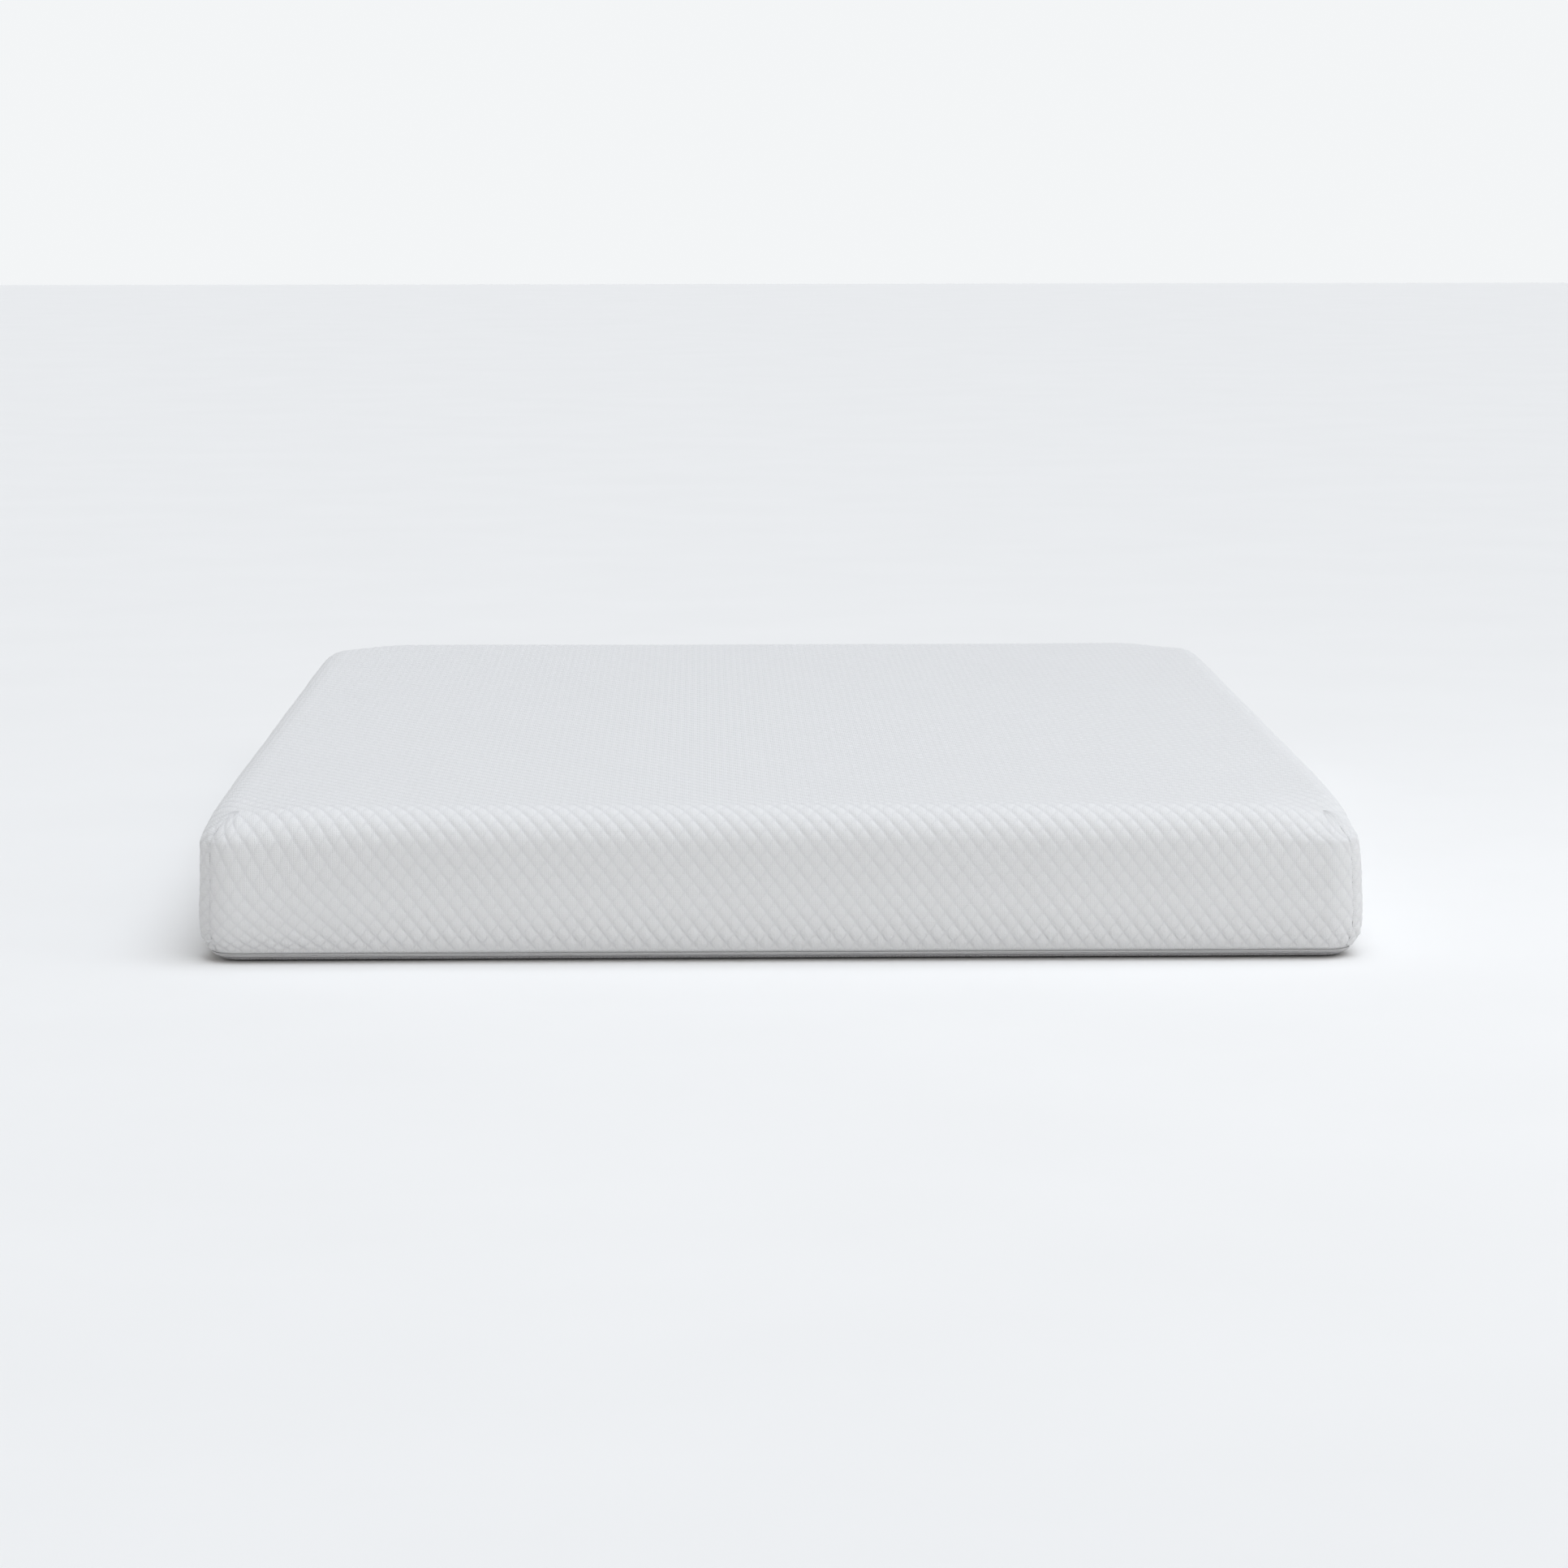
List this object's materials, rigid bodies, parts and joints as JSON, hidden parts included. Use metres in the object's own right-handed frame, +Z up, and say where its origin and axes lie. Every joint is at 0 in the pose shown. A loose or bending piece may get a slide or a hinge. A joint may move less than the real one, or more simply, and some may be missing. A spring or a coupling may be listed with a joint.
{
  "type": "memory foam mattress",
  "caption": "Queen size memory foam mattress with a white diamond-quilted knit cover, sewn corner darts and a zip with a sliding, pull-tabbed slider round its lower edge.",
  "frame": {"origin": "middle of the underside, on the surface that the mattress lies on", "axes": "+Z up through the thickness, +Y along the length to the head end, +X to the right seen from the foot end"},
  "size_m": [1.524, 2.0325, 0.203],
  "materials": {
    "quilted_knit": "matte",
    "wadding": "matte",
    "backing_scrim": "matte",
    "base_fabric": "matte",
    "seam_thread": "matte",
    "zip_tape": "matte",
    "zip_coil": "satin",
    "zip_metal": "satin",
    "barrier_knit": "matte",
    "memory_foam": "matte",
    "transition_foam": "matte",
    "support_foam": "matte",
    "label_cloth": "matte"
  },
  "bodies": {
    "mattress": {"quilt_knit_face": "quilted_knit", "quilt_wadding": "wadding", "quilt_backing": "backing_scrim", "base_panel": "base_fabric", "corner_seam_foot_left": "seam_thread", "corner_seam_foot_right": "seam_thread", "corner_seam_head_left": "seam_thread", "corner_seam_head_right": "seam_thread", "hem_stitching_upper": "seam_thread", "hem_stitching_lower": "seam_thread", "zip_tape_upper": "zip_tape", "zip_tape_lower": "zip_tape", "zip_coil_upper": "zip_coil", "zip_coil_lower": "zip_coil", "zip_start_stop": "zip_metal", "zip_end_stop_upper": "zip_metal", "zip_end_stop_lower": "zip_metal", "zip_end_tab": "quilted_knit", "fire_barrier_sleeve": "barrier_knit", "memory_foam_layer": "memory_foam", "transition_foam_layer": "transition_foam", "support_foam_base": "support_foam", "law_label": "label_cloth", "care_label": "label_cloth"},
    "slider": {"zip_slider": "zip_metal"},
    "pull": {"zip_pull_tab": "zip_metal"}
  },
  "joints": [
    {"name": "zip_travel", "type": "slide", "parent": "mattress", "child": "slider", "axis": [-1, 0, 0], "range_m": [0, 1.25]},
    {"name": "pull_hinge", "type": "hinge", "parent": "slider", "child": "pull", "pos_m": [0.597, 1.00167, 0.00658], "axis": [0, -0.788, -0.6157], "range_deg": [0, 175]}
  ]
}
